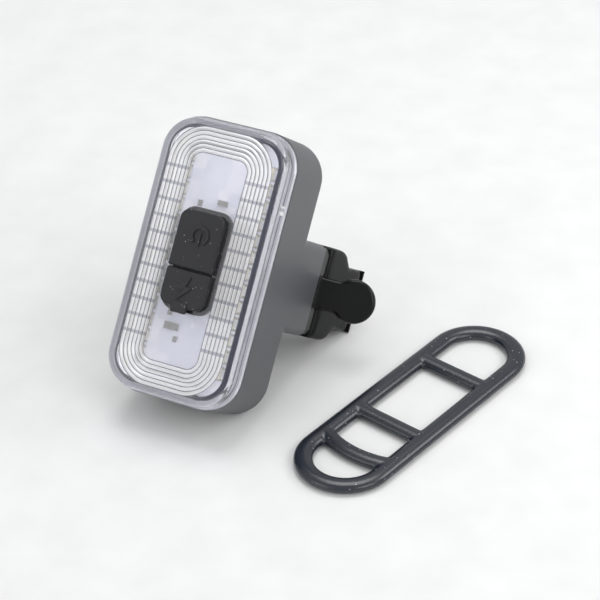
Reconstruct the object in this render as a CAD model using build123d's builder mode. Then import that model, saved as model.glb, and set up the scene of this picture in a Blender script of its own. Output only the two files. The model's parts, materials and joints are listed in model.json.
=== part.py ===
"""Bicycle safety light with its post saddle and its rubber ladder strap.

Units are millimetres. The lamp is drawn upright: X runs across it, the lens looks along -Y
and Z runs up its long side, with the seam between lens and housing at Y = 0. It is then
leaned back until the housing's lower back edge and the tips of the saddle rest on the table.
The strap lies flat beside it. The origin is under the middle of both, at table height.
"""

from build123d import *
from math import asin, atan2, copysign, cos, degrees, hypot, radians, sin, sqrt
import os

# Lamp body
LAMP_WIDTH = 37.0
LAMP_HEIGHT = 72.0
CORNER_RADIUS = 9.5
HOUSING_DEPTH = 20.0
HOUSING_WALL = 1.8
BACK_WALL = 2.0
BACK_ROUND = 4.0
BOSS_LENGTH = 12.0
BOSS_HEIGHT = 24.6
BOSS_EDGE_ROUND = 2.2
BOSS_ROOT_ROUND = 2.4
BOSS_END_CHAMFER = 0.3
BOSS_WALL = 2.0
POST_DIAMETER = 4.4
POST_SIDE_INSET = 6.0
POST_END_INSET = 7.0

# Lens
LENS_PROUD = 6.0
LENS_INSET = 0.25
LENS_STEP = 0.6
LENS_FLANGE = 1.8
LENS_WALL = 1.9
LENS_SHOULDER = 2.4
LENS_INNER_CHAMFER = 1.1
GATE_WIDTH = 2.4
GATE_Z = 17.4
TONGUE_DEPTH = 0.5
TONGUE_THICKNESS = 0.9
WINDOW_SIDE_MARGIN = 10.7
WINDOW_END_MARGIN = 9.2
WINDOW_RADIUS = 3.0
RIDGE_COUNT = 6
RIDGE_PITCH = 1.1
RIDGE_HEIGHT = 0.5

# Silicone cover, its button and its port flap
COVER_HEIGHT = 24.6
COVER_RADIUS = 2.6
COVER_LIP = 0.45
COVER_WALL = 1.2
COVER_FLANGE = 1.4
FLANGE_THICKNESS = 1.0
COVER_BAR = 1.2
PAD_THICKNESS = 1.7
PAD_ROUND = 0.5
PAD_GAP = 0.45
FLAP_GAP = 0.3
GROOVE_Z = -2.65
GROOVE_WIDTH = 0.5
BUTTON_TRAVEL = 0.4
STEM_INSET = 0.8
STEM_ROUND = 1.0
STEM_LENGTH = 3.0
STEM_NUB_DIAMETER = 3.4
TAB_WIDTH = 4.2
TAB_LENGTH = 2.8
TAB_OVERHANG = 1.4
TAB_RISE = 0.5
PLUG_SIDE_ROOM = 0.85
PLUG_END_ROOM = 1.5
PLUG_ROUND = 0.8
PLUG_LENGTH = 1.3

# Board and what it carries
SEAL_THICKNESS = 0.9
SEAL_WIDTH = 1.4
BOARD_THICKNESS = 1.2
CHIP_LENGTH = 3.0
CHIP_WIDTH = 1.4
CHIP_THICKNESS = 0.7
CHIP_PITCH = 4.3
CHIP_OUTSIDE_WINDOW = 3.4
SWITCH_SIZE = 5.2
SWITCH_HEIGHT = 1.8
SWITCH_CHAMFER = 0.3
PLUNGER_DIAMETER = 2.6
PLUNGER_RISE = 1.0
PORT_WIDTH = 7.5
PORT_HEIGHT = 2.6
PORT_WALL = 0.3
PORT_ROUND = 0.6
PORT_SIDE_ROOM = 0.7
PORT_TO_PLUG = 0.4
PORT_TONGUE_WIDTH = 5.4
PORT_TONGUE_THICKNESS = 0.6
CONNECTOR_WIDTH = 6.0
CONNECTOR_HEIGHT = 4.0
CONNECTOR_DEPTH = 5.0

# Battery
BATTERY_SIDE_ROOM = 2.7
BATTERY_END_ROOM = 4.8
BATTERY_FRONT_ROOM = 6.4
BATTERY_ROUND = 1.6
FOAM_THICKNESS = 1.0
FOAM_INSET = 2.5
LEAD_DIAMETER = 1.1
LEAD_SPACING = 2.6
LEAD_RISE = 5.5
LEAD_BEND = 2.0

# Bracket for a round post
POST_RADIUS = 16.0
PAD_RUBBER = 1.5
HOOK_PLATE = 4.6
HOOK_PLATE_INSET = 0.5
HOOK_THICKNESS = 2.6
HOOK_NECK_HEIGHT = 8.5
HOOK_HEAD_RADIUS = 5.9
HOOK_REACH = 16.6
HOOK_SWEEP = 12.0
HOOK_NECK_ROUND = 1.6
HOOK_EDGE_CHAMFER = 0.55
HOOK_ROOT_OVERLAP = 1.0
SADDLE_FLOOR = 1.9
SADDLE_TIP_SHORT = 3.8
ARM_WALL = 5.1
SADDLE_HEIGHT = 24.8
ARM_HEIGHT = 17.0
SHOULDER_LENGTH = 7.4
SHOULDER_RUN = 2.2
SHOULDER_ROUND = 4.0
VALLEY_ROUND = 1.2
FLANK_ROUND = 0.8
LIP_ROUND = 0.4
PAD_LIP = 0.9
SCREW_X = 9.0
SCREW_DIAMETER = 2.4
SCREW_HEAD_DIAMETER = 4.6
SCREW_HEAD_HEIGHT = 1.6
SCREW_BITE = 1.6
SCREW_HOLE_SPARE = 1.0

# Ladder strap
STRAP_LENGTH = 81.0
STRAP_WIDTH = 26.4
STRAP_BAND = 4.6
STRAP_THICKNESS = 3.0
STRAP_TOP_ROUND = 1.2
STRAP_WINDOW_CHAMFER = 0.8
STRAP_FOOT_CHAMFER = 0.5
STRAP_BAR = 4.2
STRAP_NEAR_LOOP = 17.9
STRAP_BAR_SPACING = 13.0
STRAP_FAR_LOOP = 23.1
STRAP_CURVED_BAR_SAG = 2.2
STRAP_CORNER_ROUND = 1.5
STRAP_CLEAR_OF_LAMP = 33.5
STRAP_AWAY_Y = 13.0
STRAP_TURN = 76.5

# Clearances
RUNNING = 0.15
SNUG = 0.05

# Board parts: place across, place beyond the cover's end, width, height, thickness
BOARD_PARTS = (
    (0.6, 3.3, 2.6, 1.4, 0.6),
    (-5.6, 2.1, 1.0, 1.6, 0.5),
    (5.4, 5.9, 0.9, 1.5, 0.5),
    (-6.0, -1.9, 1.0, 1.6, 0.5),
    (-4.6, -5.3, 3.6, 1.8, 0.9),
    (-2.8, -8.3, 0.9, 1.5, 0.5),
)

POST_X = LAMP_WIDTH / 2 - POST_SIDE_INSET
POST_Z = LAMP_HEIGHT / 2 - POST_END_INSET
WINDOW_WIDTH = LAMP_WIDTH - 2 * WINDOW_SIDE_MARGIN
WINDOW_HEIGHT = LAMP_HEIGHT - 2 * WINDOW_END_MARGIN
CHIP_COLUMN_X = WINDOW_WIDTH / 2 + CHIP_OUTSIDE_WINDOW
CHIP_ROWS = int(WINDOW_HEIGHT / CHIP_PITCH) + 1

BOARD_FRONT = TONGUE_DEPTH + SEAL_THICKNESS
BOARD_BACK = BOARD_FRONT + BOARD_THICKNESS
LENS_FRONT = -LENS_PROUD
LENS_UNDERSIDE = LENS_FRONT + LENS_WALL
BOSS_END = HOUSING_DEPTH + BOSS_LENGTH
PLATE_END = BOSS_END + HOOK_PLATE
SHELL_RADIUS = POST_RADIUS + PAD_RUBBER
POST_CENTRE_Y = PLATE_END + SADDLE_FLOOR + SHELL_RADIUS
SADDLE_TIP_X = SHELL_RADIUS + ARM_WALL
SADDLE_TIP_Y = POST_CENTRE_Y - SADDLE_TIP_SHORT
REST_TIP_Y = SADDLE_TIP_Y + PAD_LIP
SCREW_REACH = BOSS_WALL + HOOK_PLATE + SCREW_BITE

CELL_WIDTH = PORT_WIDTH + 2 * PORT_SIDE_ROOM
SLEEVE_WIDTH = CELL_WIDTH + 2 * COVER_WALL
SLEEVE_HEIGHT = COVER_HEIGHT - 2 * COVER_LIP
COVER_WIDTH = SLEEVE_WIDTH + 2 * COVER_LIP

BUTTON_TOP = COVER_HEIGHT / 2
BUTTON_BOTTOM = GROOVE_Z + GROOVE_WIDTH / 2
FLAP_TOP = GROOVE_Z - GROOVE_WIDTH / 2
FLAP_BOTTOM = -COVER_HEIGHT / 2
BUTTON_MIDDLE = (BUTTON_TOP + BUTTON_BOTTOM) / 2
PAD_BACK = LENS_FRONT - PAD_GAP
PAD_FRONT = PAD_BACK - PAD_THICKNESS
FLAP_BACK = LENS_FRONT - FLAP_GAP
FLAP_CELL_TOP = GROOVE_Z - COVER_BAR / 2
FLAP_CELL_BOTTOM = COVER_WALL - SLEEVE_HEIGHT / 2
PORT_Z = (FLAP_CELL_TOP + FLAP_CELL_BOTTOM) / 2
PLUG_WIDTH = CELL_WIDTH - 2 * PLUG_SIDE_ROOM
PLUG_HEIGHT = FLAP_CELL_TOP - FLAP_CELL_BOTTOM - 2 * PLUG_END_ROOM

BATTERY_WIDTH = LAMP_WIDTH - 2 * (HOUSING_WALL + BATTERY_SIDE_ROOM)
BATTERY_HEIGHT = 2 * (POST_Z - POST_DIAMETER / 2 - BATTERY_END_ROOM)
BATTERY_BACK = HOUSING_DEPTH - BACK_WALL - FOAM_THICKNESS
BATTERY_THICKNESS = BATTERY_BACK - BOARD_BACK - BATTERY_FRONT_ROOM
CONNECTOR_Z = BATTERY_HEIGHT / 2 + LEAD_RISE


def facing(depth):
    """A sketch plane parallel to the lens, this far behind the seam. Its normal looks forward."""
    return Plane.XZ.offset(-depth)


def lamp_outline(inset, mode=Mode.ADD):
    """The lamp's rounded outline, drawn in by this much all round."""
    width = LAMP_WIDTH - 2 * inset
    height = LAMP_HEIGHT - 2 * inset
    RectangleRounded(width, height, CORNER_RADIUS - inset, mode=mode)


def window_outline(spread):
    """The outline of the lens's smooth window, let out by this much all round."""
    RectangleRounded(WINDOW_WIDTH + 2 * spread, WINDOW_HEIGHT + 2 * spread, WINDOW_RADIUS + spread)


def cover_outline(inset, mode=Mode.ADD):
    """The silicone cover's outline, drawn in by this much all round."""
    width = COVER_WIDTH - 2 * inset
    height = COVER_HEIGHT - 2 * inset
    RectangleRounded(width, height, COVER_RADIUS - inset, mode=mode)


# Housing: a moulded shell with a rear boss whose sides run flush with its own
with BuildPart() as housing:
    with BuildSketch(facing(0)):
        lamp_outline(0)
    extrude(amount=-HOUSING_DEPTH)
    fillet(housing.faces().sort_by(Axis.Y)[-1].edges(), BACK_ROUND)
    with BuildSketch(facing(HOUSING_DEPTH - BACK_ROUND)):
        RectangleRounded(LAMP_WIDTH, BOSS_HEIGHT, BOSS_EDGE_ROUND)
    extrude(amount=-(BOSS_LENGTH + BACK_ROUND))
    boss_root = housing.edges().filter_by_position(Axis.Y, HOUSING_DEPTH - BACK_ROUND, HOUSING_DEPTH)
    boss_root = boss_root.filter_by_position(Axis.Z, -BOSS_HEIGHT / 2, BOSS_HEIGHT / 2)
    fillet(boss_root, BOSS_ROOT_ROUND)
    chamfer(housing.faces().sort_by(Axis.Y)[-1].edges(), BOSS_END_CHAMFER)
    with BuildSketch(facing(0)):
        lamp_outline(HOUSING_WALL)
    extrude(amount=-(HOUSING_DEPTH - BACK_WALL), mode=Mode.SUBTRACT)
    with BuildSketch(facing(HOUSING_DEPTH - BACK_WALL)):
        boss_room = (LAMP_WIDTH - 2 * HOUSING_WALL, BOSS_HEIGHT - 2 * BOSS_WALL)
        RectangleRounded(*boss_room, BOSS_EDGE_ROUND)
    extrude(amount=-(BOSS_LENGTH + BACK_WALL - BOSS_WALL), mode=Mode.SUBTRACT)
    with BuildSketch(facing(BOARD_BACK)):
        with GridLocations(2 * POST_X, 2 * POST_Z, 2, 2):
            Circle(POST_DIAMETER / 2)
    extrude(amount=-(HOUSING_DEPTH - BACK_WALL - BOARD_BACK))
    with BuildSketch(facing(BOSS_END - BOSS_WALL)):
        with Locations((-SCREW_X, 0), (SCREW_X, 0)):
            Circle(SCREW_DIAMETER / 2 + RUNNING)
    extrude(amount=-BOSS_WALL, mode=Mode.SUBTRACT)

# Lens: clear cap with a rounded shoulder, a moulding gate on one side and prism ridges
# around a smooth window
with BuildPart() as lens:
    with BuildSketch(facing(0)):
        lamp_outline(LENS_INSET)
    extrude(amount=LENS_FLANGE)
    with BuildSketch(facing(0)):
        lamp_outline(LENS_INSET + LENS_STEP)
    extrude(amount=LENS_PROUD)
    fillet(lens.faces().sort_by(Axis.Y)[0].edges(), LENS_SHOULDER)
    with BuildSketch(facing(0)):
        with Locations((LAMP_WIDTH / 2 - LENS_INSET, GATE_Z)):
            gate_align = (Align.MAX, Align.CENTER)
            Rectangle(LENS_STEP + LENS_WALL / 2, GATE_WIDTH, align=gate_align)
    extrude(amount=LENS_PROUD - LENS_SHOULDER)
    with BuildSketch(facing(0)):
        lamp_outline(LENS_INSET + LENS_STEP + LENS_WALL)
    extrude(amount=LENS_PROUD - LENS_WALL, mode=Mode.SUBTRACT)
    chamfer(lens.edges(Select.LAST).group_by(Axis.Y)[0], LENS_INNER_CHAMFER)
    with BuildSketch(facing(LENS_FRONT)):
        cover_outline(COVER_LIP - RUNNING)
    extrude(amount=-LENS_WALL, mode=Mode.SUBTRACT)
    with BuildSketch(facing(0)):
        lamp_outline(HOUSING_WALL + RUNNING)
        lamp_outline(HOUSING_WALL + RUNNING + TONGUE_THICKNESS, mode=Mode.SUBTRACT)
    extrude(amount=-TONGUE_DEPTH)
    for ridge in range(RIDGE_COUNT):
        with BuildSketch(facing(LENS_FRONT), mode=Mode.PRIVATE) as crest:
            window_outline((ridge + 0.5) * RIDGE_PITCH)
        crest_line = crest.sketch.face().outer_wire()
        with BuildSketch(Plane(crest_line @ 0, x_dir=(0, -1, 0), z_dir=crest_line % 0)):
            with BuildLine():
                foot = RIDGE_PITCH / 2 - SNUG
                Polyline((-SNUG, -foot), (RIDGE_HEIGHT, 0), (-SNUG, foot), close=True)
            make_face()
        sweep(path=crest_line)

# Seal: black silicone ring clamped between the lens and the board
with BuildPart() as seal_ring:
    with BuildSketch(facing(TONGUE_DEPTH)):
        lamp_outline(HOUSING_WALL + RUNNING)
        lamp_outline(HOUSING_WALL + RUNNING + SEAL_WIDTH, mode=Mode.SUBTRACT)
    extrude(amount=-SEAL_THICKNESS)

# Board: white circuit board that fills the housing's mouth
with BuildPart() as led_board:
    with BuildSketch(facing(BOARD_FRONT)):
        lamp_outline(HOUSING_WALL + 2 * RUNNING)
    extrude(amount=-BOARD_THICKNESS)

# Emitters: two columns of chips, one on each side of the window
with BuildPart() as led_chips:
    with BuildSketch(facing(BOARD_FRONT)):
        with GridLocations(2 * CHIP_COLUMN_X, CHIP_PITCH, 2, CHIP_ROWS):
            Rectangle(CHIP_WIDTH, CHIP_LENGTH)
    extrude(amount=CHIP_THICKNESS)

# Small parts soldered to the board's face: a charge lamp, resistors, capacitors and a driver
with BuildPart() as board_parts:
    for across, beyond, width, height, thickness in BOARD_PARTS:
        with BuildSketch(facing(BOARD_FRONT)):
            with Locations((across, copysign(COVER_HEIGHT / 2, beyond) + beyond)):
                Rectangle(width, height)
        extrude(amount=thickness)

# Tactile switch under the button: a square body with a sunk plunger
with BuildPart() as switch_body:
    with BuildSketch(facing(BOARD_FRONT)):
        with Locations((0, BUTTON_MIDDLE)):
            Rectangle(SWITCH_SIZE, SWITCH_SIZE)
    extrude(amount=SWITCH_HEIGHT)
    chamfer(switch_body.faces().sort_by(Axis.Y)[0].edges(), SWITCH_CHAMFER)
    with BuildSketch(facing(BOARD_FRONT - SWITCH_HEIGHT)):
        with Locations((0, BUTTON_MIDDLE)):
            Circle(PLUNGER_DIAMETER / 2 + RUNNING)
    extrude(amount=-(2 * BUTTON_TRAVEL + RUNNING), mode=Mode.SUBTRACT)

with BuildPart() as switch_plunger:
    with BuildSketch(facing(BOARD_FRONT - SWITCH_HEIGHT + BUTTON_TRAVEL)):
        with Locations((0, BUTTON_MIDDLE)):
            Circle(PLUNGER_DIAMETER / 2)
    extrude(amount=PLUNGER_RISE + BUTTON_TRAVEL)
PLUNGER_TOP = BOARD_FRONT - SWITCH_HEIGHT - PLUNGER_RISE

# Charging port: a plated shell around a contact tongue
PORT_MOUTH = FLAP_BACK + PLUG_LENGTH + PORT_TO_PLUG
with BuildPart() as port_shell:
    with BuildSketch(facing(BOARD_FRONT)):
        with Locations((0, PORT_Z)):
            RectangleRounded(PORT_WIDTH, PORT_HEIGHT, PORT_ROUND)
    extrude(amount=BOARD_FRONT - PORT_MOUTH)
    with BuildSketch(facing(PORT_MOUTH)):
        with Locations((0, PORT_Z)):
            port_bore = (PORT_WIDTH - 2 * PORT_WALL, PORT_HEIGHT - 2 * PORT_WALL)
            RectangleRounded(*port_bore, PORT_ROUND - PORT_WALL)
    extrude(amount=-(BOARD_FRONT - PORT_MOUTH - PORT_WALL), mode=Mode.SUBTRACT)

with BuildPart() as port_tongue:
    with BuildSketch(facing(BOARD_FRONT - PORT_WALL)):
        with Locations((0, PORT_Z)):
            Rectangle(PORT_TONGUE_WIDTH, PORT_TONGUE_THICKNESS)
    extrude(amount=BOARD_FRONT - PORT_MOUTH - 3 * PORT_WALL)

# Silicone cover: a sleeve through the lens with a flange behind it and a bar between its cells
with BuildPart() as silicone_cover:
    with BuildSketch(facing(BOARD_FRONT)):
        cover_outline(COVER_LIP)
    extrude(amount=BOARD_FRONT - LENS_FRONT)
    with BuildSketch(facing(LENS_UNDERSIDE + FLANGE_THICKNESS)):
        cover_outline(COVER_LIP - COVER_FLANGE)
    extrude(amount=FLANGE_THICKNESS)
    with BuildSketch(facing(LENS_FRONT)):
        cover_outline(COVER_LIP + COVER_WALL)
        with Locations((0, GROOVE_Z)):
            Rectangle(COVER_WIDTH, COVER_BAR, mode=Mode.SUBTRACT)
    extrude(amount=-(BOARD_FRONT - LENS_FRONT), mode=Mode.SUBTRACT)

# Power button: the upper pad, with a stem that reaches the switch
with BuildPart() as power_button:
    with BuildSketch(facing(PAD_BACK)):
        cover_outline(0)
        with Locations((0, BUTTON_BOTTOM)):
            below = (Align.CENTER, Align.MAX)
            Rectangle(COVER_WIDTH, COVER_HEIGHT, align=below, mode=Mode.SUBTRACT)
    extrude(amount=PAD_THICKNESS)
    fillet(power_button.faces().sort_by(Axis.Y)[0].edges(), PAD_ROUND)
    with BuildSketch(facing(PAD_BACK)):
        stem_width = CELL_WIDTH - 2 * STEM_INSET
        stem_top = SLEEVE_HEIGHT / 2 - COVER_WALL - STEM_INSET
        stem_bottom = GROOVE_Z + COVER_BAR / 2 + STEM_INSET
        with Locations((0, (stem_top + stem_bottom) / 2)):
            RectangleRounded(stem_width, stem_top - stem_bottom, STEM_ROUND)
    extrude(amount=-STEM_LENGTH)
    with BuildSketch(facing(PAD_BACK + STEM_LENGTH)):
        with Locations((0, BUTTON_MIDDLE)):
            Circle(STEM_NUB_DIAMETER / 2)
    extrude(amount=-(PLUNGER_TOP - PAD_BACK - STEM_LENGTH))

# Port flap: the lower pad, with a plug behind it and a pull tab over its lower edge
with BuildPart() as port_flap:
    with BuildSketch(facing(FLAP_BACK)):
        cover_outline(0)
        with Locations((0, FLAP_TOP)):
            above = (Align.CENTER, Align.MIN)
            Rectangle(COVER_WIDTH, COVER_HEIGHT, align=above, mode=Mode.SUBTRACT)
    extrude(amount=FLAP_BACK - PAD_FRONT)
    fillet(port_flap.faces().sort_by(Axis.Y)[0].edges(), PAD_ROUND)
    with BuildSketch(facing(FLAP_BACK)):
        with Locations((0, PORT_Z)):
            RectangleRounded(PLUG_WIDTH, PLUG_HEIGHT, PLUG_ROUND)
    extrude(amount=-PLUG_LENGTH)
    with BuildSketch(facing(PAD_FRONT + TAB_RISE)):
        with Locations((0, FLAP_BOTTOM - TAB_OVERHANG)):
            Rectangle(TAB_WIDTH, TAB_LENGTH, align=(Align.CENTER, Align.MIN))
    extrude(amount=2 * TAB_RISE)
    fillet(port_flap.faces().sort_by(Axis.Y)[0].edges(), TAB_RISE / 2)

# Battery: a flat pouch cell taped to the housing's back wall
with BuildPart() as battery_foam:
    with BuildSketch(facing(BATTERY_BACK)):
        Rectangle(BATTERY_WIDTH - 2 * FOAM_INSET, BATTERY_HEIGHT - 2 * FOAM_INSET)
    extrude(amount=-FOAM_THICKNESS)

with BuildPart() as battery:
    with BuildSketch(facing(BATTERY_BACK)):
        Rectangle(BATTERY_WIDTH, BATTERY_HEIGHT)
    extrude(amount=BATTERY_THICKNESS)
    fillet(battery.edges().filter_by(Axis.Z), BATTERY_ROUND)

# Connector on the back of the board, and the two leads that join it to the cell
with BuildPart() as battery_connector:
    with BuildSketch(facing(BOARD_BACK + CONNECTOR_DEPTH)):
        with Locations((0, CONNECTOR_Z)):
            Rectangle(CONNECTOR_WIDTH, CONNECTOR_HEIGHT)
    extrude(amount=CONNECTOR_DEPTH)


def lead(side):
    """One battery lead, from the top of the cell to the back of the connector."""
    across = side * LEAD_SPACING / 2
    middle = BATTERY_BACK - BATTERY_THICKNESS / 2
    with BuildPart() as wire:
        with BuildLine() as route:
            Polyline(
                (across, middle, BATTERY_HEIGHT / 2),
                (across, middle, CONNECTOR_Z - LEAD_BEND),
                (across, middle - LEAD_BEND, CONNECTOR_Z),
                (across, BOARD_BACK + CONNECTOR_DEPTH, CONNECTOR_Z),
            )
        with BuildSketch(Plane(route.line @ 0, z_dir=route.line % 0)):
            Circle(LEAD_DIAMETER / 2)
        sweep(transition=Transition.RIGHT)
    return wire


lead_positive = lead(1)
lead_negative = lead(-1)

# Hook plate: the dark band behind the boss, with a tongue on each side for the strap
with BuildPart() as hook_plate:
    with BuildSketch(facing(BOSS_END)):
        plate_width = LAMP_WIDTH - 2 * HOOK_PLATE_INSET
        plate_height = BOSS_HEIGHT - 2 * HOOK_PLATE_INSET
        RectangleRounded(plate_width, plate_height, BOSS_EDGE_ROUND - HOOK_PLATE_INSET)
    extrude(amount=-HOOK_PLATE)
    for side in (-1, 1):
        sweep_angle = radians(HOOK_SWEEP)
        root_x = side * (plate_width / 2 - HOOK_ROOT_OVERLAP)
        root_y = BOSS_END + HOOK_PLATE / 2 + HOOK_THICKNESS / 2
        outward = (side * cos(sweep_angle), sin(sweep_angle), 0)
        forward = (side * sin(sweep_angle), -cos(sweep_angle), 0)
        with BuildSketch(Plane((root_x, root_y, 0), x_dir=outward, z_dir=forward)) as tongue:
            neck_length = HOOK_REACH - HOOK_HEAD_RADIUS
            Rectangle(neck_length, HOOK_NECK_HEIGHT, align=(Align.MIN, Align.CENTER))
            with Locations((neck_length, 0)):
                Circle(HOOK_HEAD_RADIUS)
            fillet(tongue.vertices().group_by(Axis.X)[1], HOOK_NECK_ROUND)
        extrude(amount=HOOK_THICKNESS)
    tongues = hook_plate.edges().filter_by(lambda edge: abs(edge.center().X) > LAMP_WIDTH / 2)
    chamfer(tongues, HOOK_EDGE_CHAMFER)
    with BuildSketch(facing(BOSS_END)):
        with Locations((-SCREW_X, 0), (SCREW_X, 0)):
            Circle(SCREW_DIAMETER / 2 + RUNNING)
    extrude(amount=-HOOK_PLATE, mode=Mode.SUBTRACT)

# Saddle block: two arms around a half-round seat, bell-shaped from the side
with BuildPart() as saddle_block:
    with BuildSketch(Plane.XY.offset(-SADDLE_HEIGHT / 2)):
        with BuildLine():
            Polyline(
                (-LAMP_WIDTH / 2, PLATE_END),
                (-SADDLE_TIP_X, SADDLE_TIP_Y),
                (SADDLE_TIP_X, SADDLE_TIP_Y),
                (LAMP_WIDTH / 2, PLATE_END),
                close=True,
            )
        make_face()
        with Locations((0, POST_CENTRE_Y)):
            Circle(SHELL_RADIUS, mode=Mode.SUBTRACT)
    extrude(amount=SADDLE_HEIGHT)
    with BuildSketch(Plane.YZ.offset(-SADDLE_TIP_X)) as bell:
        with BuildLine():
            shoulder_y = PLATE_END + SHOULDER_LENGTH
            valley_y = shoulder_y + SHOULDER_RUN
            Polyline(
                (PLATE_END, -SADDLE_HEIGHT / 2),
                (shoulder_y, -SADDLE_HEIGHT / 2),
                (valley_y, -ARM_HEIGHT / 2),
                (SADDLE_TIP_Y, -ARM_HEIGHT / 2),
                (SADDLE_TIP_Y, ARM_HEIGHT / 2),
                (valley_y, ARM_HEIGHT / 2),
                (shoulder_y, SADDLE_HEIGHT / 2),
                (PLATE_END, SADDLE_HEIGHT / 2),
                close=True,
            )
        make_face()
        fillet(bell.vertices().group_by(Axis.X)[1], SHOULDER_ROUND)
        fillet(bell.vertices().group_by(Axis.X)[-2], VALLEY_ROUND)
    extrude(amount=2 * SADDLE_TIP_X, mode=Mode.INTERSECT)
    for flank in (0, -1):
        fillet(saddle_block.faces().sort_by(Axis.X)[flank].edges(), FLANK_ROUND)
    with BuildSketch(facing(PLATE_END)):
        with Locations((-SCREW_X, 0), (SCREW_X, 0)):
            Circle(SCREW_DIAMETER / 2 + SNUG)
    extrude(amount=-(SCREW_BITE + SCREW_HOLE_SPARE), mode=Mode.SUBTRACT)

# Saddle pad: soft lining of the seat that folds over the tips of the arms
half_chord = sqrt(POST_RADIUS**2 - SADDLE_TIP_SHORT**2)
with BuildPart() as saddle_pad:
    with BuildSketch(Plane.XY.offset(-ARM_HEIGHT / 2)):
        with Locations((0, POST_CENTRE_Y)):
            Circle(SHELL_RADIUS - SNUG)
        with Locations((0, SADDLE_TIP_Y + SNUG)):
            beyond_tips = (Align.CENTER, Align.MIN)
            Rectangle(2 * SADDLE_TIP_X, 2 * SHELL_RADIUS, align=beyond_tips, mode=Mode.SUBTRACT)
        for side in (-1, 1):
            with Locations((side * (SADDLE_TIP_X - SNUG), SADDLE_TIP_Y + SNUG)):
                lip_align = (Align.MAX if side > 0 else Align.MIN, Align.MIN)
                Rectangle(SADDLE_TIP_X - half_chord, PAD_LIP, align=lip_align)
        with Locations((0, POST_CENTRE_Y)):
            Circle(POST_RADIUS, mode=Mode.SUBTRACT)
    extrude(amount=ARM_HEIGHT)
    fillet(saddle_pad.faces().sort_by(Axis.Y)[-2:].edges(), LIP_ROUND)

# Bracket screws, driven from inside the boss
with BuildPart() as bracket_screws:
    with BuildSketch(facing(BOSS_END - BOSS_WALL)):
        with Locations((-SCREW_X, 0), (SCREW_X, 0)):
            Circle(SCREW_HEAD_DIAMETER / 2)
    extrude(amount=SCREW_HEAD_HEIGHT)
    with BuildSketch(facing(BOSS_END - BOSS_WALL)):
        with Locations((-SCREW_X, 0), (SCREW_X, 0)):
            Circle(SCREW_DIAMETER / 2)
    extrude(amount=-SCREW_REACH)

# Ladder strap: a rubber band with three crossbars, one of them curved
curved_bar = STRAP_NEAR_LOOP - STRAP_LENGTH / 2
middle_bar = curved_bar + STRAP_BAR_SPACING
far_bar = STRAP_LENGTH / 2 - STRAP_FAR_LOOP
with BuildPart() as strap:
    with BuildSketch() as ladder:
        SlotOverall(STRAP_LENGTH, STRAP_WIDTH)
        SlotOverall(STRAP_LENGTH - 2 * STRAP_BAND, STRAP_WIDTH - 2 * STRAP_BAND, mode=Mode.SUBTRACT)
        for place in (middle_bar, far_bar):
            with Locations((place, 0)):
                Rectangle(STRAP_BAR, STRAP_WIDTH - STRAP_BAND)
        with BuildLine():
            half_span = STRAP_WIDTH / 2 - STRAP_BAND / 2
            near = curved_bar - STRAP_BAR / 2
            far = curved_bar + STRAP_BAR / 2
            ThreePointArc((near, -half_span), (near - STRAP_CURVED_BAR_SAG, 0), (near, half_span))
            Line((near, half_span), (far, half_span))
            ThreePointArc((far, half_span), (far - STRAP_CURVED_BAR_SAG, 0), (far, -half_span))
            Line((far, -half_span), (near, -half_span))
        make_face()
    extrude(amount=STRAP_THICKNESS)
    straight = STRAP_LENGTH / 2 - STRAP_WIDTH / 2 - SNUG
    corners = strap.edges().filter_by(Axis.Z).filter_by_position(Axis.X, -straight, straight)
    fillet(corners, STRAP_CORNER_ROUND)
    top = strap.faces().sort_by(Axis.Z)[-1]
    chamfer([edge for wire in top.inner_wires() for edge in wire.edges()], STRAP_WINDOW_CHAMFER)
    fillet(strap.faces().sort_by(Axis.Z)[-1].outer_wire().edges(), STRAP_TOP_ROUND)
    chamfer(strap.faces().sort_by(Axis.Z)[0].edges(), STRAP_FOOT_CHAMFER)

# The lean at which the lower back edge and the saddle's tips share one floor line
back_edge_y = HOUSING_DEPTH - BACK_ROUND
back_edge_z = -LAMP_HEIGHT / 2 + BACK_ROUND
span_y = REST_TIP_Y - back_edge_y
span_z = -ARM_HEIGHT / 2 - back_edge_z
LEAN = atan2(span_z, span_y) + asin(BACK_ROUND / hypot(span_y, span_z))
SEAM_RISE = BACK_ROUND - back_edge_z * cos(LEAN) + back_edge_y * sin(LEAN)

lamp = {
    "housing": housing,
    "lens": lens,
    "seal_ring": seal_ring,
    "led_board": led_board,
    "led_chips": led_chips,
    "board_parts": board_parts,
    "switch_body": switch_body,
    "switch_plunger": switch_plunger,
    "port_shell": port_shell,
    "port_tongue": port_tongue,
    "silicone_cover": silicone_cover,
    "power_button": power_button,
    "port_flap": port_flap,
    "battery_foam": battery_foam,
    "battery": battery,
    "battery_connector": battery_connector,
    "lead_positive": lead_positive,
    "lead_negative": lead_negative,
    "hook_plate": hook_plate,
    "saddle_block": saddle_block,
    "saddle_pad": saddle_pad,
    "bracket_screws": bracket_screws,
}
loose = {"strap": strap}

leaning = Location((0, 0, SEAM_RISE), (-degrees(LEAN), 0, 0))
beside = Location((LAMP_WIDTH / 2 + STRAP_CLEAR_OF_LAMP, STRAP_AWAY_Y, 0), (0, 0, STRAP_TURN))
standing = {name: piece.part.moved(leaning) for name, piece in lamp.items()}
standing.update({name: piece.part.moved(beside) for name, piece in loose.items()})

boxes = [piece.bounding_box() for piece in standing.values()]
middle_x = (min(box.min.X for box in boxes) + max(box.max.X for box in boxes)) / 2
middle_y = (min(box.min.Y for box in boxes) + max(box.max.Y for box in boxes)) / 2
centred = Location((-middle_x, -middle_y, 0))

os.makedirs("parts", exist_ok=True)
for name, piece in standing.items():
    finished = piece.moved(centred)
    finished.label = name
    export_step(finished, f"parts/{name}.step")

print("lean", round(degrees(LEAN), 3), "seam rise", round(SEAM_RISE, 3))
print("origin", round(middle_x, 4), round(middle_y, 4))
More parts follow.
